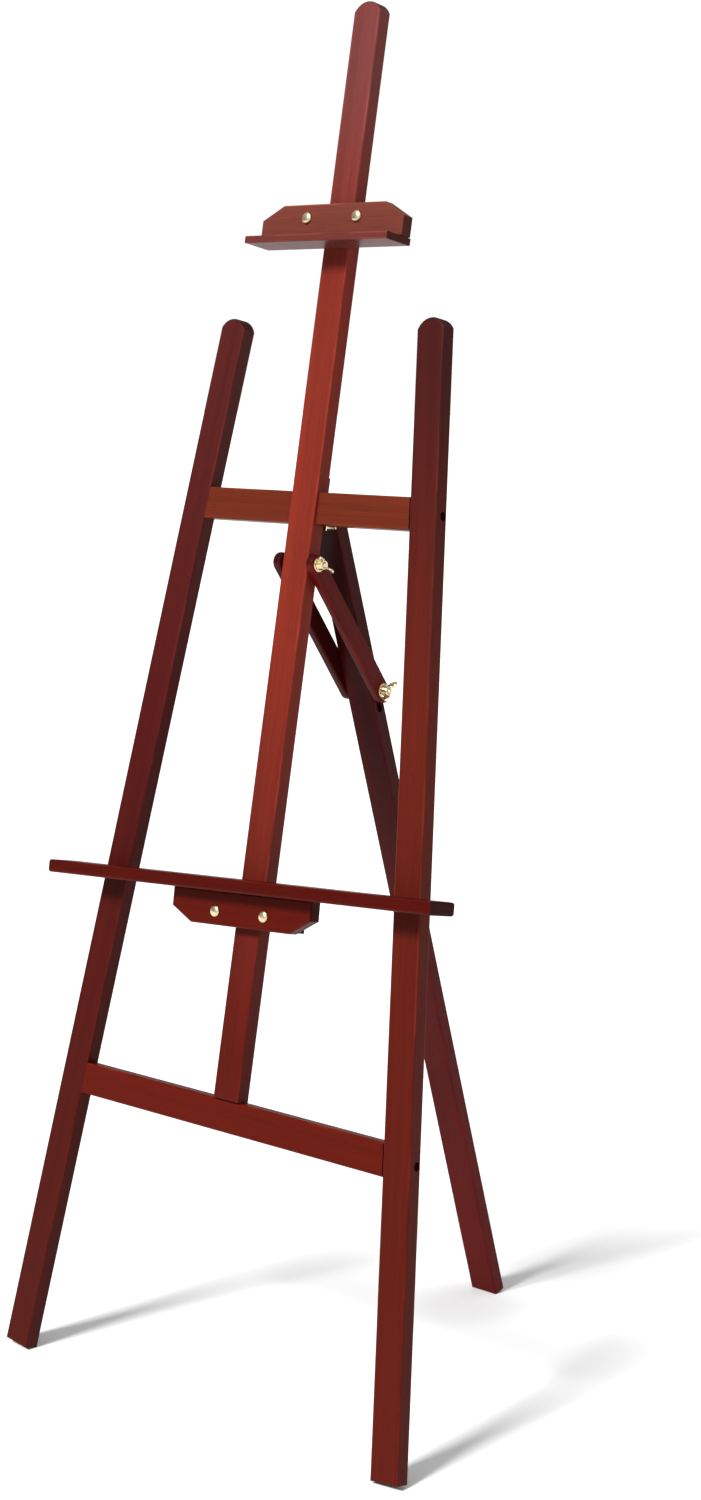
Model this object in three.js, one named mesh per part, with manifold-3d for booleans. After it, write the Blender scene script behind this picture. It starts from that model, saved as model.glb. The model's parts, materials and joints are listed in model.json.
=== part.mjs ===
// Wooden artist's easel: a lyre-shaped front frame that leans back, a hinged rear leg held
// open by two stays, a canvas tray and a top clamp that slide on a central mast.
// Millimetres, +Z up, standing on z = 0 with the origin in the middle of its footprint.
import * as THREE from 'three';
import { mergeVertices } from 'three/addons/utils/BufferGeometryUtils.js';
import Module from 'manifold-3d';

const wasm = await Module();
wasm.setup();

const { degToRad } = THREE.MathUtils;
const GAP = 0.3; // between pieces that touch

// ---- front frame: x across, y towards the back, z up along the mast
const LEAN = degToRad(11.1);
const SPLAY = degToRad(6.7);
const FOOT_SPREAD = 565; // between the centre lines of the two front feet
const LEG = { width: 36, depth: 18, height: 1186.2, crown: 11 };
const RAIL = { height: 35, depth: 18, lower: 318.5, upper: 980.5 }; // heights of the rails' middles
const MAST = { width: 37, depth: 18, proud: 4, top: 1528, crown: 11 };
const MAST_BACK = MAST.depth - MAST.proud;
const EDGE = 2; // rounding of the long edges
const EDGE_STEPS = 3;

// ---- rear leg, its butt hinge and the two stays
const REAR_ANGLE = degToRad(27.8); // between the frame and the open rear leg
const REAR = { width: 38, depth: 17, above: 3 };
const HINGE = { width: 36, leaf: 24, plate: 1.5, knuckle: 2.9, pin: 1.5, height: 983 };
const PIN_Y = RAIL.depth + GAP + HINGE.knuckle;
const REAR_FRONT = HINGE.knuckle + GAP; // rear leg's front face, behind the pin
const STAY = { width: 21, thick: 10, top: 920.5, y: 2, onLeg: 216, tail: 5 };
const SLOT = { travel: 23, radius: 3.9 }; // the lower bolt runs in the rear leg's slot
const GLUE_BLOCK = { width: 32, upper: 17, lower: 15 };

// ---- sliding tray and top clamp: each grips the mast between a plate and a block behind
const PLATE = { length: 206, height: 37.3, thick: 15, cornerX: 30, cornerZ: 16, boltEdge: 15.2 };
const BACK_BLOCK = { length: 112, height: 30, thick: 12 };
const BOLT_SPREAD = 36; // from the mast's centre line to each bolt
const TRAY = { height: 538.6, tilt: degToRad(3.2), length: 566, depth: 38, thick: 14.5 };
const CLAMP = { height: 1290.5, x: 2.5, depth: 38, thick: 8, edge: 1 };

// ---- fasteners
const BOLT = { radius: 3, head: 6.5, dome: 3.2, plate: 56, stay: 70 };
const HOLE = 3.4; // radius of a bolt hole in wood
const WASHER = { inner: 3.4, outer: 8, thick: 1.2 };
const NUT = { inner: 3.4, base: 6.4, top: 4.8, height: 7.5, span: 27, rise: 12.5, wing: 2.4 };
const SCREW = { head: 4, shank: 2, point: 3, slot: 1 };
const COUNTERBORE = { radius: 4.9, depth: 6 };
const ROUND_STEPS = 14;

const stain = (color, roughness) => new THREE.MeshStandardMaterial({ color, roughness, metalness: 0 });
const metal = (color) => new THREE.MeshStandardMaterial({ color, roughness: 0.3, metalness: 1 });
const LEG_WOOD = stain(0x5a2320, 0.42);
const MAST_WOOD = stain(0x8c3324, 0.42);
const RAIL_WOOD = stain(0x7a3322, 0.45);
const REAR_WOOD = stain(0x4a1c1a, 0.45);
const BRASS = metal(0xc9a75c);
const STEEL = metal(0x4a4643);

const X = new THREE.Vector3(1, 0, 0);
const Y = new THREE.Vector3(0, 1, 0);
const Z = new THREE.Vector3(0, 0, 1);
const DOWN = Z.clone().negate();
const BACK = Y;
const FORWARD = Y.clone().negate();
const LEFT = X.clone().negate();

// ---- solids: joining and cutting
function solid(geometry) {
  const bare = geometry.index ? geometry.toNonIndexed() : geometry.clone();
  bare.deleteAttribute('normal');
  bare.deleteAttribute('uv');
  const merged = mergeVertices(bare, 1e-4);
  return new wasm.Manifold(new wasm.Mesh({
    numProp: 3,
    vertProperties: merged.attributes.position.array,
    triVerts: new Uint32Array(merged.index.array),
  }));
}

function surface(manifold) {
  const mesh = manifold.getMesh();
  const geometry = new THREE.BufferGeometry();
  geometry.setAttribute('position', new THREE.BufferAttribute(mesh.vertProperties, 3));
  geometry.setIndex(new THREE.BufferAttribute(mesh.triVerts, 1));
  return geometry;
}

const cut = (body, tools) => surface(tools.reduce((left, tool) => left.subtract(solid(tool)), solid(body)));
const join = (parts) => surface(parts.map(solid).reduce((all, part) => all.add(part)));
const common = (a, b) => surface(solid(a).intersect(solid(b)));

// ---- outlines
function rectangle(x0, y0, x1, y1) {
  return new THREE.Shape([[x0, y0], [x1, y0], [x1, y1], [x0, y1]].map(([x, y]) => new THREE.Vector2(x, y)));
}

// A stick's outline with an arched top: crown is how far the arch rises.
function archedStick(width, bottom, top, crown) {
  const half = width / 2;
  const radius = (half * half + crown * crown) / (2 * crown);
  const reach = Math.asin(half / radius);
  const shape = new THREE.Shape();
  shape.moveTo(-half, bottom);
  shape.lineTo(half, bottom);
  shape.absarc(0, top - radius, radius, Math.PI / 2 - reach, Math.PI / 2 + reach, false);
  shape.closePath();
  return shape;
}

// A plate's outline with two cut corners along its bottom edge, bolts on y = 0.
function corneredPlate({ length, height, cornerX, cornerZ, boltEdge }) {
  const half = length / 2;
  const low = -boltEdge;
  const high = height - boltEdge;
  const points = [
    [-half, high], [-half, low + cornerZ], [-half + cornerX, low],
    [half - cornerX, low], [half, low + cornerZ], [half, high],
  ];
  return new THREE.Shape(points.map(([x, y]) => new THREE.Vector2(x, y)));
}

// A stay's outline: two bolt centres a given distance apart, and round ends.
function stadium(radius, low, high) {
  const shape = new THREE.Shape();
  shape.absarc(0, high, radius, 0, Math.PI, false);
  shape.absarc(0, low, radius, Math.PI, 2 * Math.PI, false);
  shape.closePath();
  return shape;
}

// ---- boards: an outline with thickness and rounded edges, from z = 0 to z = thick
function slab(shape, thick, edge) {
  const geometry = new THREE.ExtrudeGeometry(shape, {
    depth: thick - 2 * edge,
    bevelEnabled: edge > 0,
    bevelThickness: edge,
    bevelSize: edge,
    bevelOffset: -edge,
    bevelSegments: EDGE_STEPS,
    curveSegments: 12,
  });
  return geometry.translate(0, 0, edge);
}

// The outline's x and y become x and z; the board runs back from y = front.
const facingFront = (geometry, front, thick) => geometry.rotateX(Math.PI / 2).translate(0, front + thick, 0);

// The outline's x and y become y and z; the board runs right from x = left.
function facingSide(geometry, left) {
  const turn = new THREE.Matrix4().makeBasis(Y, Z, X);
  return geometry.applyMatrix4(turn).translate(left, 0, 0);
}

const frontBoard = (shape, front, thick, edge = EDGE) => facingFront(slab(shape, thick, edge), front, thick);

// ---- tools and fasteners of revolution, all pointing down from the origin
const turned = (points, steps = ROUND_STEPS) => new THREE.LatheGeometry(
  points.map(([radius, height]) => new THREE.Vector2(radius, height)), steps).rotateX(Math.PI / 2);

const drill = (radius, length, before = 1) => turned([
  [0, -length], [radius, -length], [radius, before], [0, before],
]);

function screwBlank(length, slack = 0) {
  const neck = SCREW.head - SCREW.shank;
  return turned([
    [0, -length - slack],
    [SCREW.shank + slack, -length + SCREW.point - slack],
    [SCREW.shank + slack, -neck - slack],
    [SCREW.head + slack, -slack],
    [SCREW.head + slack, slack],
    [0, slack],
  ], 12);
}

function screwGeometry(length) {
  const slot = new THREE.BoxGeometry(3 * SCREW.head, SCREW.slot, 2 * SCREW.slot);
  return cut(screwBlank(length), [slot]);
}

// A domed bolt: the dome stands above z = 0 and the shank runs down.
function boltGeometry(length) {
  const { radius, head, dome } = BOLT;
  return turned([
    [0, -length], [radius - 0.5, -length], [radius, -length + 0.8], [radius, 0], [head, 0],
    [0.93 * head, 0.4 * dome], [0.72 * head, 0.75 * dome], [0.38 * head, 0.95 * dome], [0, dome],
  ]);
}

const washerGeometry = () => turned([
  [WASHER.inner, 0], [WASHER.inner, -WASHER.thick], [WASHER.outer, -WASHER.thick], [WASHER.outer, 0],
  [WASHER.inner, 0],
], 18);

// One ear of a wing nut, in the x-y plane, leaning out and up from the hub.
function wingOutline() {
  const { base, height, span, rise } = NUT;
  const tip = 3.6; // radius of the ear's round end
  const shape = new THREE.Shape();
  shape.moveTo(base - 1.4, 1);
  shape.lineTo(span / 2 - tip, 0.35 * height);
  shape.absarc(span / 2 - tip, rise - tip, tip, 0, 0.8 * Math.PI, false);
  shape.lineTo(base - 2, 0.85 * height);
  shape.closePath();
  return shape;
}

function wingNutGeometry() {
  const { inner, base, top, height, wing } = NUT;
  const hub = turned([[inner, 0], [inner, -height], [top, -height], [base, 0], [inner, 0]]);
  const ears = [0, Math.PI].map((turn) => {
    const flat = { depth: wing, bevelEnabled: false, curveSegments: 5 };
    const ear = new THREE.ExtrudeGeometry(wingOutline(), flat);
    return ear.translate(0, 0, -wing / 2).rotateX(-Math.PI / 2).rotateZ(turn);
  });
  return join([hub, ...ears]);
}

// A copy of a tool, moved so that it points along a direction from a place.
function aimed(geometry, at, direction) {
  const turn = new THREE.Quaternion().setFromUnitVectors(DOWN, direction);
  return geometry.clone().applyQuaternion(turn).translate(at.x, at.y, at.z);
}

// ---- the scene graph
function piece(name, geometry, material, parent) {
  const mesh = new THREE.Mesh(geometry, material.clone());
  mesh.name = name;
  parent.add(mesh);
  return mesh;
}

function fastener(name, geometry, material, parent, at, direction) {
  const mesh = piece(name, geometry, material, parent);
  mesh.position.copy(at);
  mesh.quaternion.setFromUnitVectors(DOWN, direction);
  return mesh;
}

const easel = new THREE.Group();
const frame = new THREE.Group();
frame.rotation.x = -LEAN;
easel.add(frame);

const at = (x, y, z) => new THREE.Vector3(x, y, z);
const legX = (height) => FOOT_SPREAD / 2 - height * Math.tan(SPLAY); // centre line of the right leg
const legHalf = LEG.width / 2 / Math.cos(SPLAY);

// ---- screws through the legs into the ends of the rails
const LEG_SCREW = { length: 62, y: 12 };
const legScrews = [];
for (const [level, height] of [['upper', RAIL.upper], ['lower', RAIL.lower]]) {
  for (const [side, sign] of [['left', -1], ['right', 1]]) {
    const face = at(sign * (legX(height) + legHalf), LEG_SCREW.y, height);
    const seat = face.clone().addScaledVector(X, -sign * COUNTERBORE.depth);
    const direction = sign > 0 ? LEFT : X;
    legScrews.push({ name: `leg_screw_${level}_${side}`, face, seat, direction, side, level });
    fastener(legScrews.at(-1).name, screwGeometry(LEG_SCREW.length), STEEL, frame, seat, direction);
  }
}
const legScrewTool = ({ seat, direction }) => aimed(screwBlank(LEG_SCREW.length, GAP), seat, direction);
const counterboreTool = ({ face, direction }) =>
  aimed(drill(COUNTERBORE.radius, COUNTERBORE.depth, 6), face, direction);

// ---- front legs
function makeLeg(side, sign) {
  const length = LEG.height / Math.cos(SPLAY);
  const place = new THREE.Object3D();
  place.position.x = sign * FOOT_SPREAD / 2;
  place.rotation.y = -sign * SPLAY;
  place.updateMatrix();
  const intoLeg = place.matrix.clone().invert();
  const tools = legScrews.filter((screw) => screw.side === side)
    .flatMap((screw) => [legScrewTool(screw), counterboreTool(screw)])
    .map((tool) => tool.applyMatrix4(intoLeg));
  const blank = frontBoard(archedStick(LEG.width, 0, length, LEG.crown), 0, LEG.depth);
  const leg = piece(`${side}_leg`, cut(blank, tools), LEG_WOOD, frame);
  leg.position.copy(place.position);
  leg.rotation.copy(place.rotation);
}
makeLeg('left', -1);
makeLeg('right', 1);

// ---- screws that hold the mast: two from behind the upper rail, one up through the lower rail
const MAST_SCREW = { length: 14, spread: 10, height: RAIL.upper + 11.5 };
const FOOT_SCREW = { length: 55, y: 8, depth: 14 };
const mastScrews = [['left', -1], ['right', 1]].map(([side, sign]) => ({
  name: `mast_screw_${side}`,
  at: at(sign * MAST_SCREW.spread, RAIL.depth, MAST_SCREW.height),
}));
const footScrewSeat = at(0, FOOT_SCREW.y, RAIL.lower - RAIL.height / 2 + FOOT_SCREW.depth);
mastScrews.forEach((screw) => fastener(
  screw.name, screwGeometry(MAST_SCREW.length), STEEL, frame, screw.at, FORWARD));
fastener('mast_foot_screw', screwGeometry(FOOT_SCREW.length), STEEL, frame, footScrewSeat, Z);
const mastScrewTools = mastScrews.map(
  (screw) => aimed(screwBlank(MAST_SCREW.length, GAP), screw.at, FORWARD));
const footScrewTools = [
  aimed(screwBlank(FOOT_SCREW.length, GAP), footScrewSeat, Z),
  aimed(drill(COUNTERBORE.radius, 40, 0), footScrewSeat, DOWN),
];

// ---- hinge screws, fixed leaf: from behind into the upper rail
const HINGE_SCREW = { length: 9, spread: 11, along: 13.5 };
const fixedLeafBack = RAIL.depth + GAP + HINGE.plate;
const fixedHingeScrews = [['left', -1], ['right', 1]].map(([side, sign]) => ({
  name: `hinge_screw_fixed_${side}`,
  at: at(sign * HINGE_SCREW.spread, fixedLeafBack, HINGE.height - HINGE_SCREW.along),
}));
const smallScrew = (slack = 0) => screwBlank(HINGE_SCREW.length, slack).scale(0.8, 0.8, 1);
const smallScrewTool = (screw, direction) => aimed(smallScrew(GAP), screw.at, direction);

// ---- rails, housed between the legs
function makeRail(level, height, tools) {
  const low = height - RAIL.height / 2;
  const high = height + RAIL.height / 2;
  const bar = frontBoard(rectangle(-FOOT_SPREAD, low, FOOT_SPREAD, high), 0, RAIL.depth, 2);
  const end = (z) => legX(z) - legHalf - GAP;
  const [under, over] = [low - 9, high + 9];
  const corners = [[-end(under), under], [end(under), under], [end(over), over], [-end(over), over]];
  const trapezium = new THREE.Shape(corners.map(([x, y]) => new THREE.Vector2(x, y)));
  const blank = common(bar, facingFront(slab(trapezium, 80, 0), -30, 80));
  const screws = legScrews.filter((screw) => screw.level === level).map(legScrewTool);
  piece(`${level}_rail`, cut(blank, [...screws, ...tools]), RAIL_WOOD, frame);
}
const housing = new THREE.BoxGeometry(MAST.width + 2 * GAP, 2 * (MAST_BACK + GAP), 3 * RAIL.height)
  .translate(0, 0, RAIL.upper);
makeRail('upper', RAIL.upper, [
  housing, ...mastScrewTools, ...fixedHingeScrews.map((screw) => smallScrewTool(screw, FORWARD)),
]);
makeRail('lower', RAIL.lower, footScrewTools);

// ---- mast
const mastFoot = RAIL.lower + RAIL.height / 2 + GAP;
const stayBoltHole = aimed(drill(HOLE, 80, 0), at(-40, STAY.y, STAY.top), X);
piece('mast', cut(
  frontBoard(archedStick(MAST.width, mastFoot, MAST.top, MAST.crown), -MAST.proud, MAST.depth),
  [
    stayBoltHole, ...mastScrewTools, ...footScrewTools,
    ...fixedHingeScrews.map((screw) => smallScrewTool(screw, FORWARD)),
  ],
), MAST_WOOD, frame);

// ---- glue blocks that brace the mast above and below the upper rail
function makeGlueBlock(name, low, high) {
  const half = GLUE_BLOCK.width / 2;
  const front = MAST_BACK + GAP;
  const outline = rectangle(-half, low, half, high);
  piece(name, frontBoard(outline, front, RAIL.depth - front, 1.2), REAR_WOOD, frame);
}
const railTop = RAIL.upper + RAIL.height / 2;
const railBottom = RAIL.upper - RAIL.height / 2;
makeGlueBlock('glue_block_upper', railTop + GAP, railTop + GAP + GLUE_BLOCK.upper);
makeGlueBlock('glue_block_lower', railBottom - GAP - GLUE_BLOCK.lower, railBottom - GAP);

// ---- butt hinge: both leaves hang down from the pin, which lies behind the upper rail
const KNUCKLES = 5;
const knuckleLength = HINGE.width / KNUCKLES;

// A leaf with its knuckles around the pin at the origin; plateY is the front of its plate.
function leafGeometry(plateY, ownKnuckle, screws) {
  const half = HINGE.width / 2;
  const plate = new THREE.BoxGeometry(HINGE.width, HINGE.plate, HINGE.leaf)
    .translate(0, plateY + HINGE.plate / 2, -HINGE.leaf / 2);
  const barrel = aimed(drill(HINGE.knuckle, HINGE.width, 0), at(-half, 0, 0), X);
  const bore = aimed(drill(HINGE.pin + GAP / 2, 2 * HINGE.width), at(-HINGE.width, 0, 0), X);
  const others = [];
  for (let k = 0; k < KNUCKLES; k += 1) {
    if (ownKnuckle(k)) continue;
    const middle = -half + (k + 0.5) * knuckleLength;
    const reach = 2 * HINGE.knuckle + 1;
    others.push(new THREE.BoxGeometry(knuckleLength + GAP, reach, reach).translate(middle, 0, 0));
  }
  return cut(join([plate, barrel]), [bore, ...others, ...screws]);
}
const pinPlace = at(0, PIN_Y, HINGE.height);
const towardsPin = (tool) => tool.translate(0, -PIN_Y, -HINGE.height);
const fixedLeaf = piece('hinge_leaf_fixed', leafGeometry(
  -HINGE.knuckle, (k) => k % 2 === 0,
  fixedHingeScrews.map((screw) => towardsPin(smallScrewTool(screw, FORWARD))),
), BRASS, frame);
fixedLeaf.position.copy(pinPlace);
fixedHingeScrews.forEach((screw) => fastener(screw.name, smallScrew(), BRASS, frame, screw.at, FORWARD));
const pinEnd = at(-HINGE.width / 2, PIN_Y, HINGE.height);
const hingePin = aimed(drill(HINGE.pin, HINGE.width + 1.5, 1.5), pinEnd, X);
piece('hinge_pin', hingePin, BRASS, frame);

// ---- rear leg: its own group turns about the hinge pin, with the leg along -z
const rear = new THREE.Group();
rear.position.copy(pinPlace);
rear.rotation.x = REAR_ANGLE;
frame.add(rear);
easel.updateMatrixWorld(true);
const floor = new THREE.Box3().setFromObject(frame.getObjectByName('left_leg'), true).min.z;
const frontAtPin = rear.localToWorld(at(0, REAR_FRONT, 0));
const rearSlant = REAR_ANGLE - LEAN; // of the open rear leg, from upright
const roundedOff = EDGE * (Math.cos(rearSlant) + Math.sin(rearSlant) - 1); // under its front edge
const rearLength = (frontAtPin.z - floor + roundedOff) / Math.cos(rearSlant);
const movingHingeScrews = [['left', -1], ['right', 1]].map(([side, sign]) => ({
  name: `hinge_screw_moving_${side}`,
  at: at(sign * HINGE_SCREW.spread, HINGE.knuckle - HINGE.plate, -HINGE_SCREW.along),
}));
const slotY = REAR_FRONT + REAR.depth / 2;
const slotShape = stadium(SLOT.radius, -STAY.onLeg - SLOT.travel, -STAY.onLeg);
const slotTool = facingSide(slab(slotShape, 80, 0), -40).translate(0, slotY, 0);
piece('rear_leg', cut(
  frontBoard(rectangle(-REAR.width / 2, -rearLength, REAR.width / 2, REAR.above), REAR_FRONT, REAR.depth),
  [slotTool, ...movingHingeScrews.map((screw) => smallScrewTool(screw, BACK))],
), REAR_WOOD, rear);
piece('hinge_leaf_moving', leafGeometry(
  HINGE.knuckle - HINGE.plate, (k) => k % 2 === 1,
  movingHingeScrews.map((screw) => smallScrewTool(screw, BACK)),
), BRASS, rear);
movingHingeScrews.forEach((screw) => fastener(screw.name, smallScrew(), BRASS, rear, screw.at, BACK));

// ---- stays: they turn about the upper bolt; the lower bolt passes through the rear leg's slot
const stays = new THREE.Group();
stays.position.set(0, STAY.y, STAY.top);
const lowerBolt = at(0, slotY, -STAY.onLeg).applyAxisAngle(X, REAR_ANGLE).add(pinPlace);
const alongStay = lowerBolt.clone().sub(stays.position);
const stayLength = alongStay.length();
stays.rotation.x = Math.atan2(alongStay.y, -alongStay.z);
frame.add(stays);
const stayInner = REAR.width / 2 + GAP;
const stayOuter = stayInner + STAY.thick;
function makeStay(name, left) {
  const outline = stadium(STAY.width / 2, -stayLength - STAY.tail, 0);
  const blank = facingSide(slab(outline, STAY.thick, 2), left);
  const holes = [0, -stayLength].map((z) => aimed(drill(HOLE, 80, 0), at(-40, 0, z), X));
  piece(name, cut(blank, holes), REAR_WOOD, stays);
}
makeStay('left_stay', -stayOuter);
makeStay('right_stay', stayInner);

// ---- bolt, washer and wing nut along a direction; depth is from the head's seat to the washer
function boltSet(name, parent, seat, direction, length, depth, nutTurn) {
  fastener(`${name}_bolt`, boltGeometry(length), BRASS, parent, seat, direction);
  const washerPlace = seat.clone().addScaledVector(direction, depth + GAP);
  fastener(`${name}_washer`, washerGeometry(), BRASS, parent, washerPlace, direction);
  const nutPlace = washerPlace.clone().addScaledVector(direction, WASHER.thick + GAP);
  const nut = fastener(`${name}_wing_nut`, wingNutGeometry(), BRASS, parent, nutPlace, direction);
  nut.rotateZ(nutTurn);
}
const staySeat = stayOuter + GAP;
boltSet('upper_stay', stays, at(-staySeat, 0, 0), X, BOLT.stay, 2 * staySeat - GAP, degToRad(-12));
boltSet('lower_stay', stays, at(-staySeat, 0, -stayLength), X, BOLT.stay, 2 * staySeat - GAP, degToRad(80));

// ---- grips: a plate in front of the mast and a block behind it, with a bolt each side
const frontPlateY = -MAST.proud - GAP - PLATE.thick;
const backBlockY = MAST_BACK + GAP;
function makeGrip(prefix, parent, chamfersUp, nutTurns, extraTools) {
  const turn = chamfersUp ? Math.PI : 0;
  const holes = [-1, 1].map((sign) => aimed(drill(HOLE, 120, 0), at(sign * BOLT_SPREAD, -60, 0), BACK));
  const plate = slab(corneredPlate(PLATE), PLATE.thick, EDGE).rotateZ(turn);
  const gripFront = facingFront(plate, frontPlateY, PLATE.thick);
  piece(`${prefix}_front_plate`, cut(gripFront, [...holes, ...extraTools]), MAST_WOOD, parent);
  const { length, height, thick } = BACK_BLOCK;
  const outline = rectangle(-length / 2, -PLATE.boltEdge, length / 2, height - PLATE.boltEdge);
  const block = facingFront(slab(outline, thick, EDGE).rotateZ(turn), backBlockY, thick);
  piece(`${prefix}_back_block`, cut(block, holes), LEG_WOOD, parent);
  const depth = backBlockY + thick - frontPlateY + GAP;
  for (const [side, sign, nutTurn] of [['left', -1, nutTurns[0]], ['right', 1, nutTurns[1]]]) {
    const seat = at(sign * BOLT_SPREAD, frontPlateY - GAP, 0);
    boltSet(`${prefix}_${side}`, parent, seat, BACK, BOLT.plate, depth, nutTurn);
  }
}

// ---- canvas tray: the shelf is screwed down onto the front plate
const tray = new THREE.Group();
tray.position.z = TRAY.height;
tray.rotation.y = -TRAY.tilt;
frame.add(tray);
const SHELF_SCREW = { length: 32, spread: 62 };
const shelfBottom = PLATE.height - PLATE.boltEdge + GAP;
const shelfScrews = [['left', -1], ['right', 1]].map(([side, sign]) => ({
  name: `tray_screw_${side}`,
  at: at(sign * SHELF_SCREW.spread, frontPlateY + PLATE.thick / 2, shelfBottom + TRAY.thick),
}));
const shelfScrewTools = shelfScrews.map(
  (screw) => aimed(screwBlank(SHELF_SCREW.length, GAP), screw.at, DOWN));
const shelfBack = -MAST.proud - GAP;
const shelfShape = rectangle(-TRAY.length / 2, shelfBack - TRAY.depth, TRAY.length / 2, shelfBack);
piece('tray_shelf', cut(
  slab(shelfShape, TRAY.thick, 2.5).translate(0, 0, shelfBottom), shelfScrewTools,
), MAST_WOOD, tray);
makeGrip('tray', tray, false, [degToRad(25), degToRad(-40)], shelfScrewTools);
shelfScrews.forEach((screw) => fastener(
  screw.name, screwGeometry(SHELF_SCREW.length), STEEL, tray, screw.at, DOWN));

// ---- top clamp: a ledge glued under the front plate keeps the canvas from tipping
const clamp = new THREE.Group();
clamp.position.set(CLAMP.x, 0, CLAMP.height);
frame.add(clamp);
const ledgeTop = -(PLATE.height - PLATE.boltEdge) - GAP;
const ledgeShape = rectangle(-PLATE.length / 2, shelfBack - CLAMP.depth, PLATE.length / 2, shelfBack);
const ledge = slab(ledgeShape, CLAMP.thick, CLAMP.edge).translate(0, 0, ledgeTop - CLAMP.thick);
piece('clamp_ledge', ledge, MAST_WOOD, clamp);
makeGrip('clamp', clamp, true, [degToRad(-20), degToRad(55)], []);

// ---- stand it on z = 0, with the origin in the middle of its footprint
easel.updateMatrixWorld(true);
const box = new THREE.Box3().setFromObject(easel, true);
easel.position.set(-(box.min.x + box.max.x) / 2, -(box.min.y + box.max.y) / 2, -box.min.z);

export default easel;
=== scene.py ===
"""Looks of a folding wooden artist's easel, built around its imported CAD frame. Metres, +Z up."""

import json
import math

import bmesh
import bpy
from mathutils import Matrix, Vector

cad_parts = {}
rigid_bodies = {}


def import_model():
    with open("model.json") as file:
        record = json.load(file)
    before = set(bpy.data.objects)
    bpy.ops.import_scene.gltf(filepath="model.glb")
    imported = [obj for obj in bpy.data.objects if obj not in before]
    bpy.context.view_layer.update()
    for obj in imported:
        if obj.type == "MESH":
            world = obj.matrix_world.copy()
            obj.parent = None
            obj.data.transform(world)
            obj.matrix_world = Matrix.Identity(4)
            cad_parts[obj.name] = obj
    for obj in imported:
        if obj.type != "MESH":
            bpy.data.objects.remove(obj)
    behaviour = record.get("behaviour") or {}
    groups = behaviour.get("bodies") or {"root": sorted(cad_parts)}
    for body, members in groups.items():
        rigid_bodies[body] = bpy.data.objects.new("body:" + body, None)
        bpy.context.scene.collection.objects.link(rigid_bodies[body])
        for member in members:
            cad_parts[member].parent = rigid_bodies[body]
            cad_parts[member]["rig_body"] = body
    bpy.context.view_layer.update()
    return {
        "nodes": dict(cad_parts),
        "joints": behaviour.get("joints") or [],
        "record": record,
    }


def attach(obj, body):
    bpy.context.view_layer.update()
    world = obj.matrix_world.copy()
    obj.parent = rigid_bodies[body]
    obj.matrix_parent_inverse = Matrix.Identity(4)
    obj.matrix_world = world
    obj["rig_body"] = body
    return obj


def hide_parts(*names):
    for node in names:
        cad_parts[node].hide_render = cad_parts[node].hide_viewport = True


# ---- stain of each wooden piece at given heights, linear colours, with painted light and shade in them: painted shade towards the feet and on shaded pieces, painted sheen towards the tops and on the clamp
STAINS_WITH_PAINTED_LIGHT = {
    # the mast: darker towards its foot, painted shade; paler and pinker at its top, painted sheen
    "mast": (
        (0.38, (0.070, 0.0045, 0.0020)),
        (0.62, (0.115, 0.0120, 0.0070)),
        (0.85, (0.162, 0.0178, 0.0092)),
        (1.22, (0.154, 0.0180, 0.0108)),
        (1.42, (0.138, 0.0330, 0.0300)),
    ),
    # the legs: darker and browner towards the feet, painted shade; pinker towards the tops, painted sheen;
    # the right leg is also darker at its top
    "left_leg": (
        (0.20, (0.050, 0.0030, 0.0010)),
        (0.75, (0.056, 0.0050, 0.0046)),
        (1.12, (0.061, 0.0092, 0.0080)),
    ),
    "right_leg": (
        (0.20, (0.068, 0.0044, 0.0012)),
        (0.75, (0.090, 0.0096, 0.0046)),
        (1.12, (0.044, 0.0068, 0.0062)),
    ),
    # the upper rail paler and pinker than the lower one: painted light and painted sheen from above
    "upper_rail": ((0.0, (0.104, 0.0158, 0.0060)),),
    "lower_rail": ((0.0, (0.078, 0.0042, 0.0008)),),
    "tray_shelf": ((0.0, (0.055, 0.0022, 0.0006)),),
    "tray_front_plate": ((0.0, (0.076, 0.0042, 0.0012)),),
    "tray_back_block": ((0.0, (0.053, 0.0036, 0.0018)),),
    # the clamp's pieces are paler and pinker: painted sheen
    "clamp_ledge": ((0.0, (0.105, 0.0220, 0.0180)),),
    "clamp_front_plate": ((0.0, (0.130, 0.0300, 0.0200)),),
    "clamp_back_block": ((0.0, (0.100, 0.0180, 0.0130)),),
    # the rear leg darker towards its top, painted shade
    "rear_leg": ((0.25, (0.090, 0.0036, 0.0030)), (0.70, (0.040, 0.0026, 0.0022))),
    # the left stay darker than the right one, painted shade
    "left_stay": ((0.0, (0.045, 0.0030, 0.0026)),),
    "right_stay": ((0.0, (0.082, 0.0036, 0.0028)),),
    "glue_block_upper": ((0.0, (0.060, 0.0040, 0.0030)),),
    "glue_block_lower": ((0.0, (0.060, 0.0040, 0.0030)),),
}
STAIN_HEIGHTS = (0.0, 1.6)  # the range that holds every stop above
LATE_WOOD = 0.55  # how dark the grain's late wood is beside the early wood
LACQUER = {"Coat Weight": 0.06, "Coat Roughness": 0.20, "Specular IOR Level": 0.045}
FASTENER_SETS = ("upper_stay", "lower_stay", "tray_left", "tray_right", "clamp_left", "clamp_right")

RING_SPACING = 0.0034  # one year's growth
PITH = Vector((0.0, 0.046, 0.019))  # from the heart of the tree to the middle of a stick
PITH_DRIFT = 0.012  # how far the heart wanders beside a stick
ARRIS = 0.002  # width of the rounded edges

# noise scales per metre: along the grain, then across it
DRIFT_CELLS = (1.1, 5, 5)
FIBRE_CELLS = (9, 620, 620)
STREAK_CELLS = (2.2, 95, 95)
PORE_CELLS = (26, 1300, 1300)
CLOUD_CELLS = (2.4, 10, 10)
RUB_CELLS = (16, 60, 60)
SMEAR_CELLS = (5, 70, 70)

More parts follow.
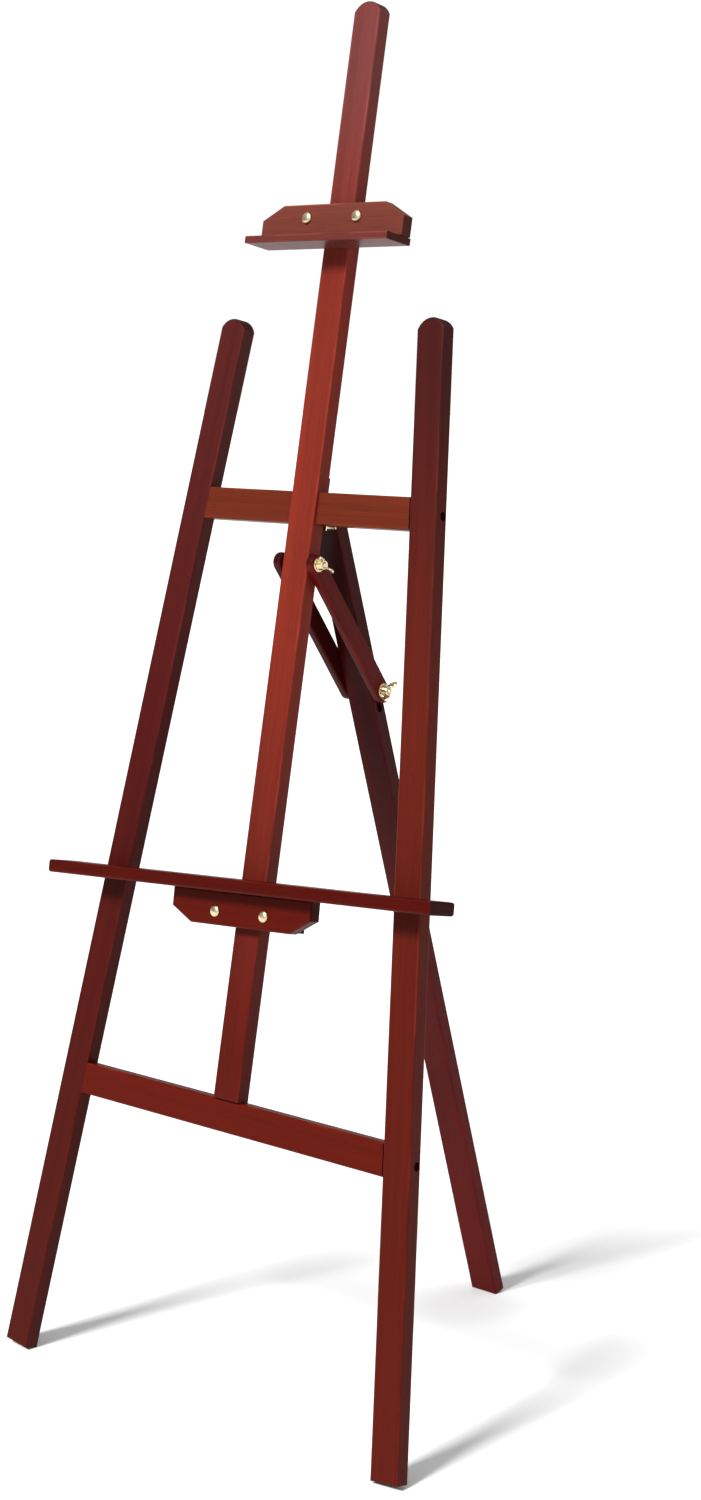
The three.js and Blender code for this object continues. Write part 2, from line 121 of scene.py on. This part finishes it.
THREAD_PITCH = 0.001
THREAD_DEPTH = 0.0004
THREAD_LENGTH = 0.026
TURN_ROWS = 6  # rows of vertices for each turn of the thread
TIP = 0.03  # share of the thread's length that the bolt's chamfered tip takes
DOME_RIM = 0.22  # share of a bolt head's height below its dome
ROUND = 48  # steps round a turned piece
SMOOTH_CAD = 32  # degrees between faces that shade as one surface
SMOOTH_TURNED = 40
CASTING_VOXEL = 0.00035

FLOOR_REACH = 30.0
FLOOR_COLOUR = (0.84, 0.84, 0.84)
KEY_STRENGTH = 5.0
ROOM_SEEN = 1.05  # the room's brightness to the camera
ROOM_LOW = 0.22  # and as a light: at the horizon, overhead, and how much the right side adds
ROOM_HIGH = 0.60
ROOM_RIGHT = 0.50

CAMERA_PLACE = Vector((1.948, -2.139, 1.142))
CAMERA_YAW = math.radians(42.29)
CAMERA_PITCH = math.radians(-8.78)
CAMERA_LENS = 63.2
CAMERA_SENSOR = 36.0
KEY_ELEVATION = math.radians(42)
KEY_DRIFT = 0.03  # how far the light heads to the right for each metre back
KEY_SIZE = math.radians(15)

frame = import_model()
NODES = frame["nodes"]
JOINTS = {joint["name"]: joint for joint in frame["joints"]}


# ---- small helpers for node trees
class Tree:
    """A material's node tree, with short calls for the nodes that these finishes use."""

    def __init__(self, name):
        self.material = bpy.data.materials.new(name)
        self.material.use_nodes = True
        self.tree = self.material.node_tree
        self.shader = self.tree.nodes["Principled BSDF"]
        self.coordinates = self.node("ShaderNodeTexCoord")

    def node(self, kind, **settings):
        made = self.tree.nodes.new(kind)
        for key, value in settings.items():
            setattr(made, key, value)
        return made

    def feed(self, socket, value):
        if isinstance(value, bpy.types.NodeSocket):
            self.tree.links.new(value, socket)
        else:
            socket.default_value = value

    def math(self, operation, *values, clamp=False):
        made = self.node("ShaderNodeMath", operation=operation, use_clamp=clamp)
        for socket, value in zip(made.inputs, values):
            self.feed(socket, value)
        return made.outputs[0]

    def total(self, base, *terms):
        """base plus each value times its weight."""
        for value, weight in terms:
            base = self.math("ADD", base, self.math("MULTIPLY", value, weight))
        return base

    def ramp(self, value, low, high, to_low=0.0, to_high=1.0):
        made = self.node("ShaderNodeMapRange", interpolation_type="SMOOTHSTEP")
        keys = ("Value", "From Min", "From Max", "To Min", "To Max")
        for key, given in zip(keys, (value, low, high, to_low, to_high)):
            self.feed(made.inputs[key], given)
        return made.outputs[0]

    def mapping(self, vector, **settings):
        made = self.node("ShaderNodeMapping")
        self.feed(made.inputs["Vector"], vector)
        for key, value in settings.items():
            self.feed(made.inputs[key.capitalize()], value)
        return made.outputs[0]

    def noise(self, vector, scale, detail=3.0, roughness=0.5):
        made = self.node("ShaderNodeTexNoise")
        keys = ("Vector", "Scale", "Detail", "Roughness")
        for key, value in zip(keys, (vector, scale, detail, roughness)):
            self.feed(made.inputs[key], value)
        return made.outputs[0]

    def stops(self, value, stops, low, high):
        """A colour that runs through stops of (value, colour), with values between low and high."""
        made = self.node("ShaderNodeValToRGB")
        elements = made.color_ramp.elements
        while len(elements) > 1:
            elements.remove(elements[-1])
        for number, (place, colour) in enumerate(stops):
            spot = (place - low) / (high - low)
            element = elements[0] if number == 0 else elements.new(spot)
            element.position = spot
            element.color = opaque(colour)
        self.feed(made.inputs[0], self.math("DIVIDE", self.math("SUBTRACT", value, low), high - low))
        return made.outputs[0]

    def mix(self, factor, first, second):
        made = self.node("ShaderNodeMix", data_type="RGBA")
        for key, value in (("Factor_Float", factor), ("A_Color", first), ("B_Color", second)):
            self.feed(next(s for s in made.inputs if s.identifier == key), value)
        return next(s for s in made.outputs if s.identifier == "Result_Color")

    def split(self, vector):
        made = self.node("ShaderNodeSeparateXYZ")
        self.feed(made.inputs[0], vector)
        return made.outputs

    def bump(self, height, strength, distance):
        made = self.node("ShaderNodeBump")
        self.feed(made.inputs["Height"], height)
        made.inputs["Strength"].default_value = strength
        made.inputs["Distance"].default_value = distance
        return made.outputs[0]


def opaque(colour):
    return (*colour, 1.0)


# ---- wood
def stick_axes(mesh):
    """Rows that point along the grain, across the broad face, and out of it, from the mesh's own faces."""
    areas = {}
    for face in mesh.polygons:
        key = tuple(round(abs(c), 2) for c in face.normal)
        best = areas.setdefault(key, [0.0, face.normal.copy()])
        best[0] += face.area
    ranked = [normal for _, normal in sorted(areas.values(), key=lambda entry: -entry[0])]
    broad = ranked[0]
    narrow = next(normal for normal in ranked if abs(normal.dot(broad)) < 0.1)
    along = broad.cross(narrow).normalized()
    return Matrix((along, broad.cross(along).normalized(), broad))


def wood(node, order):
    """Stained and lacquered pine for one stick, its stain colours holding painted shade and painted sheen:
    its rings and fibres run along the stick.
    """
    mesh = NODES[node].data
    axes = stick_axes(mesh)
    t = Tree(f"wood_{node}")
    height = t.split(t.coordinates.outputs["Object"])[2]
    # the stain colour at each height, with the painted shade and painted sheen that the table holds
    stain_with_painted_light = t.stops(height, STAINS_WITH_PAINTED_LIGHT[node], *STAIN_HEIGHTS)
    turn = axes.to_euler("XYZ")
    place = t.mapping(t.coordinates.outputs["Object"], rotation=turn)
    spots = [axes @ vertex.co for vertex in mesh.vertices]
    low, high = (Vector(pick(s[i] for s in spots) for i in range(3)) for pick in (min, max))
    middle, half = (low + high) / 2, (high - low) / 2

    # growth rings round a heart outside the stick, wandering slowly along it
    wander = Vector((0.31 * order, 0.0, 0.0))
    grain = t.mapping(place, location=wander - middle)
    drift = t.noise(t.mapping(grain, scale=DRIFT_CELLS), 1.0, 2.0)
    _, y, z = t.split(grain)
    heart = t.math("MULTIPLY", drift, PITH_DRIFT)
    radius = t.math(
        "SQRT",
        t.math(
            "ADD",
            t.math("POWER", t.math("ADD", y, t.math("ADD", heart, PITH.y)), 2.0),
            t.math("POWER", t.math("ADD", z, t.math("ADD", heart, PITH.z)), 2.0),
        ),
    )
    phase = t.math("FRACT", t.math("DIVIDE", radius, RING_SPACING))
    ring = t.math("POWER", phase, 2.2)
    late = t.math("MULTIPLY", ring, t.ramp(phase, 1.0, 0.93))

    # fibres and open pores
    fibre = t.noise(t.mapping(grain, scale=FIBRE_CELLS), 1.0, 4.0, 0.62)
    streak = t.noise(t.mapping(grain, scale=STREAK_CELLS), 1.0, 3.0, 0.55)
    pore = t.ramp(t.noise(t.mapping(grain, scale=PORE_CELLS), 1.0, 2.0), 0.64, 0.74)

    # the stain takes unevenly, and more deeply in the end grain
    cloud = t.noise(t.mapping(grain, scale=CLOUD_CELLS), 1.0, 1.0)
    tone = t.total(0.0, (late, 0.06), (streak, 0.66), (fibre, 0.45), (cloud, 0.07))
    depth = t.ramp(tone, 0.35, 1.15, 1.0, LATE_WOOD)
    depth = t.math("MULTIPLY", depth, t.ramp(pore, 0.0, 1.0, 1.0, 0.55))
    facing = t.split(t.mapping(t.coordinates.outputs["Normal"], rotation=turn))[0]
    end = t.ramp(t.math("ABSOLUTE", facing), 0.35, 0.8)
    depth = t.math("MULTIPLY", depth, t.ramp(end, 0.0, 1.0, 1.0, 0.45))

    # rubbed arrises show thinner, paler stain
    _, py, pz = t.split(place)
    near_y = t.math("SUBTRACT", t.math("ABSOLUTE", t.math("SUBTRACT", py, middle.y)), half.y - ARRIS)
    near_z = t.math("SUBTRACT", t.math("ABSOLUTE", t.math("SUBTRACT", pz, middle.z)), half.z - ARRIS)
    edge = t.ramp(t.math("MINIMUM", near_y, near_z), 0.0, ARRIS * 0.45)
    patchy = t.ramp(t.noise(t.mapping(grain, scale=RUB_CELLS), 1.0, 4.0), 0.42, 0.66)
    rubbed = t.math("MULTIPLY", t.math("MULTIPLY", edge, patchy), t.math("SUBTRACT", 1.0, end))
    depth = t.math("ADD", depth, t.math("MULTIPLY", rubbed, 0.55))
    colour = t.node("ShaderNodeVectorMath", operation="SCALE")
    t.feed(colour.inputs[0], stain_with_painted_light)
    t.feed(colour.inputs["Scale"], depth)

    # sanding and handling marks in the satin lacquer
    smear = t.noise(t.mapping(grain, scale=SMEAR_CELLS), 1.0, 3.0)
    rough = t.total(0.33, (smear, 0.10), (pore, 0.20), (end, 0.18), (rubbed, 0.10))
    relief = t.total(0.0, (fibre, 0.5), (pore, -0.8), (late, -0.15))
    t.feed(t.shader.inputs["Base Color"], colour.outputs[0])
    t.feed(t.shader.inputs["Roughness"], rough)
    t.feed(t.shader.inputs["Normal"], t.bump(relief, 0.30, 0.0002))
    for key, value in LACQUER.items():
        t.shader.inputs[key].default_value = value
    return t.material


# ---- metals
def metal(name, bright, dull, low_rough, high_rough, cell):
    """Cast or rolled metal: tarnish in clouds, fine rubbing marks, and a faint casting skin."""
    t = Tree(name)
    place = t.coordinates.outputs["Object"]
    tarnish = t.ramp(t.noise(place, 1 / cell, 4.0), 0.40, 0.68)
    rub = t.noise(t.mapping(place, scale=(900, 260, 1900)), 1.0, 4.0, 0.6)
    skin = t.noise(place, 2600.0, 3.0)
    amount = t.math("ADD", t.math("MULTIPLY", tarnish, 0.75), t.math("MULTIPLY", rub, 0.3), clamp=True)
    rough = t.math("ADD", low_rough, t.math("MULTIPLY", amount, high_rough - low_rough))
    t.feed(t.shader.inputs["Base Color"], t.mix(amount, opaque(bright), opaque(dull)))
    t.feed(t.shader.inputs["Roughness"], rough)
    t.feed(t.shader.inputs["Normal"], t.bump(t.math("ADD", skin, rub), 0.25, 0.00008))
    t.shader.inputs["Metallic"].default_value = 1.0
    return t.material


BRASS = metal("brass", (0.88, 0.74, 0.47), (0.66, 0.53, 0.32), 0.16, 0.36, 0.009)
STEEL = metal("oiled_steel", (0.16, 0.145, 0.13), (0.055, 0.048, 0.042), 0.30, 0.55, 0.003)


def dress(obj, material):
    obj.data.materials.clear()
    obj.data.materials.append(material)


def shade_smooth(mesh, angle):
    mesh.shade_smooth()
    mesh.set_sharp_from_angle(angle=math.radians(angle))


for order, name in enumerate(sorted(STAINS_WITH_PAINTED_LIGHT)):
    dress(NODES[name], wood(name, order))
SLOT_OF = {piece["node"]: piece["material_slot"] for piece in frame["record"]["subparts"]}
for name, node in NODES.items():
    if name not in STAINS_WITH_PAINTED_LIGHT:
        dress(node, STEEL if SLOT_OF[name] == "steel_screws" else BRASS)
    shade_smooth(node.data, SMOOTH_CAD)


# ---- turned fasteners, built along +Z and then placed on their CAD axis
def joint_axis(name):
    joint = JOINTS[f"{name}_nut_turn"]
    return Vector(joint["pos_m"]), Vector(joint["axis"]).normalized()


def measure(node, origin, axis):
    """(height along the axis, distance from it) of each vertex of a CAD node."""
    spots = []
    for vertex in NODES[node].data.vertices:
        offset = vertex.co - origin
        height = offset.dot(axis)
        spots.append((height, (offset - axis * height).length))
    return spots


def ring(mesh, radius, height, wobble=None):
    """A circle of vertices. wobble(angle, height) changes its radius on the way round."""
    spots = []
    for step in range(ROUND):
        angle = 2 * math.pi * step / ROUND
        r = radius + (wobble(angle, height) if wobble else 0.0)
        spots.append(mesh.verts.new((r * math.cos(angle), r * math.sin(angle), height)))
    return spots


def bridge(mesh, rings):
    for lower, upper in zip(rings, rings[1:]):
        for step in range(ROUND):
            after = (step + 1) % ROUND
            mesh.faces.new((lower[step], lower[after], upper[after], upper[step]))


def lathe(mesh, rows, wobble=None):
    """Adds a turned body through rows of (radius, height), closed at both ends."""
    rings = [ring(mesh, radius, height, wobble) for radius, height in rows]
    bridge(mesh, rings)
    mesh.faces.new(reversed(rings[0]))
    mesh.faces.new(rings[-1])


def place_piece(name, mesh, origin, axis, node):
    data = bpy.data.meshes.new(name)
    bmesh.ops.recalc_face_normals(mesh, faces=mesh.faces)
    mesh.to_mesh(data)
    mesh.free()
    obj = bpy.data.objects.new(name, data)
    bpy.context.scene.collection.objects.link(obj)
    data.transform(Matrix.Translation(origin) @ axis.to_track_quat("Z", "X").to_matrix().to_4x4())
    shade_smooth(data, SMOOTH_TURNED)
    dress(obj, BRASS)
    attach(obj, NODES[node]["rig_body"])
    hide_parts(node)


def dome_rows(radius, bottom, height, steps=9):
    """Profile of a carriage bolt's head, from its rim to the crown."""
    rows = [
        (radius * 0.93, bottom),
        (radius, bottom - height * 0.12),
        (radius * 0.99, bottom - height * DOME_RIM),
    ]
    for step in range(1, steps):
        angle = math.pi / 2 * step / steps
        rise = DOME_RIM + (1 - DOME_RIM) * math.sin(angle)
        rows.append((radius * 0.985 * math.cos(angle), bottom - height * rise))
    rows.append((radius * 0.02, bottom - height))
    return rows


def thread(angle, height):
    """How far the surface lies inside the shank at a place on a screw thread."""
    turn = (height / THREAD_PITCH - angle / (2 * math.pi)) % 1.0
    return -THREAD_DEPTH * abs(2 * turn - 1)


def make_bolt(name):
    origin, axis = joint_axis(name)
    node = f"{name}_bolt"
    spots = measure(node, origin, axis)
    start, end = min(spots)[0], max(spots)[0]
    head = max(width for _, width in spots)
    shank = max(width for height, width in spots if height > end - 0.001)
    shoulder = max(height for height, width in spots if width > head * 0.9)
    threaded = end - THREAD_LENGTH
    tip = end - THREAD_LENGTH * TIP
    mesh = bmesh.new()
    dome = list(reversed(dome_rows(head, shoulder, shoulder - start)))
    lathe(mesh, dome + [(shank, shoulder), (shank, threaded)])
    steps = int(THREAD_LENGTH / THREAD_PITCH * TURN_ROWS)
    lathe(mesh, [(shank, threaded + (tip - threaded) * i / steps) for i in range(steps + 1)], thread)
    core = shank - THREAD_DEPTH
    lathe(mesh, [(core, tip - 0.0002), (core, tip), (shank * 0.7, end)])
    place_piece(f"{name}_carriage_bolt", mesh, origin, axis, node)


def make_washer(name):
    origin, axis = joint_axis(name)
    node = f"{name}_washer"
    spots = measure(node, origin, axis)
    low, high = min(spots)[0], max(spots)[0]
    inner = min(width for _, width in spots)
    outer = max(width for _, width in spots)
    soft = (high - low) * 0.28  # rounding of the stamped edges
    profile = [
        (inner, low + soft), (inner + soft, low), (outer - soft, low), (outer, low + soft),
        (outer, high - soft), (outer - soft, high), (inner + soft, high), (inner, high - soft),
    ]
    mesh = bmesh.new()
    rings = [ring(mesh, radius, height) for radius, height in profile]
    bridge(mesh, rings + rings[:1])
    place_piece(f"{name}_flat_washer", mesh, origin, axis, node)


def soften_casting(node):
    """A cast wing nut has no sharp edges: its CAD solid is remeshed finely and relaxed."""
    remesh = node.modifiers.new("casting", "REMESH")
    remesh.mode = "VOXEL"
    remesh.voxel_size = CASTING_VOXEL
    remesh.use_smooth_shade = True
    relax = node.modifiers.new("relax", "SMOOTH")
    relax.factor = 0.5
    relax.iterations = 3


for name in FASTENER_SETS:
    make_bolt(name)
    make_washer(name)
    soften_casting(NODES[f"{name}_wing_nut"])


# ---- floor, light and camera
def make_floor():
    mesh = bpy.data.meshes.new("floor")
    corners = [(-1, -1), (1, -1), (1, 1), (-1, 1)]
    mesh.from_pydata([(x * FLOOR_REACH, y * FLOOR_REACH, 0) for x, y in corners], [], [(0, 1, 2, 3)])
    floor = bpy.data.objects.new("floor", mesh)
    bpy.context.scene.collection.objects.link(floor)
    t = Tree("pale_floor")
    t.shader.inputs["Base Color"].default_value = opaque(FLOOR_COLOUR)
    t.shader.inputs["Roughness"].default_value = 0.9
    t.shader.inputs["Specular IOR Level"].default_value = 0.1
    dress(floor, t.material)


def make_key():
    """One soft sun from the front, so that the shadows run straight back."""
    data = bpy.data.lights.new("key", "SUN")
    data.energy = KEY_STRENGTH
    data.angle = KEY_SIZE
    light = bpy.data.objects.new("key", data)
    way = Vector((KEY_DRIFT, math.cos(KEY_ELEVATION), -math.sin(KEY_ELEVATION)))
    light.rotation_euler = way.to_track_quat("-Z", "Y").to_euler()
    bpy.context.scene.collection.objects.link(light)


def make_world():
    """A white room seen evenly by the camera. It lights the object from above and from the right."""
    world = bpy.data.worlds.new("white_room")
    bpy.context.scene.world = world
    world.use_nodes = True
    tree = world.node_tree

    def spread(low, high):
        made = tree.nodes.new("ShaderNodeMapRange")
        made.inputs["To Min"].default_value = low
        made.inputs["To Max"].default_value = high
        return made

    background = tree.nodes["Background"]
    background.inputs["Color"].default_value = (1.0, 1.0, 1.0, 1.0)
    rays = tree.nodes.new("ShaderNodeLightPath")
    coordinates = tree.nodes.new("ShaderNodeTexCoord")
    split = tree.nodes.new("ShaderNodeSeparateXYZ")
    total = tree.nodes.new("ShaderNodeMath")
    overhead = spread(ROOM_LOW, ROOM_HIGH)
    right = spread(0.0, ROOM_RIGHT)
    strength = spread(0.0, ROOM_SEEN)
    tree.links.new(coordinates.outputs["Generated"], split.inputs[0])
    tree.links.new(split.outputs["Z"], overhead.inputs["Value"])
    tree.links.new(split.outputs["X"], right.inputs["Value"])
    tree.links.new(overhead.outputs[0], total.inputs[0])
    tree.links.new(right.outputs[0], total.inputs[1])
    tree.links.new(total.outputs[0], strength.inputs["To Min"])
    tree.links.new(rays.outputs["Is Camera Ray"], strength.inputs["Value"])
    tree.links.new(strength.outputs[0], background.inputs["Strength"])


make_floor()
make_world()
make_key()

camera_data = bpy.data.cameras.new("camera")
camera_data.lens = CAMERA_LENS
camera_data.sensor_width = CAMERA_SENSOR
camera_data.sensor_fit = "AUTO"
camera_data.clip_end = 100.0
camera = bpy.data.objects.new("camera", camera_data)
camera.location = CAMERA_PLACE
sight = Vector((
    -math.sin(CAMERA_YAW) * math.cos(CAMERA_PITCH),
    math.cos(CAMERA_YAW) * math.cos(CAMERA_PITCH),
    math.sin(CAMERA_PITCH),
))
camera.rotation_euler = sight.to_track_quat("-Z", "Y").to_euler()
bpy.context.scene.collection.objects.link(camera)
bpy.context.scene.camera = camera
bpy.context.scene.view_settings.view_transform = "Standard"
bpy.context.scene.view_settings.look = "None"
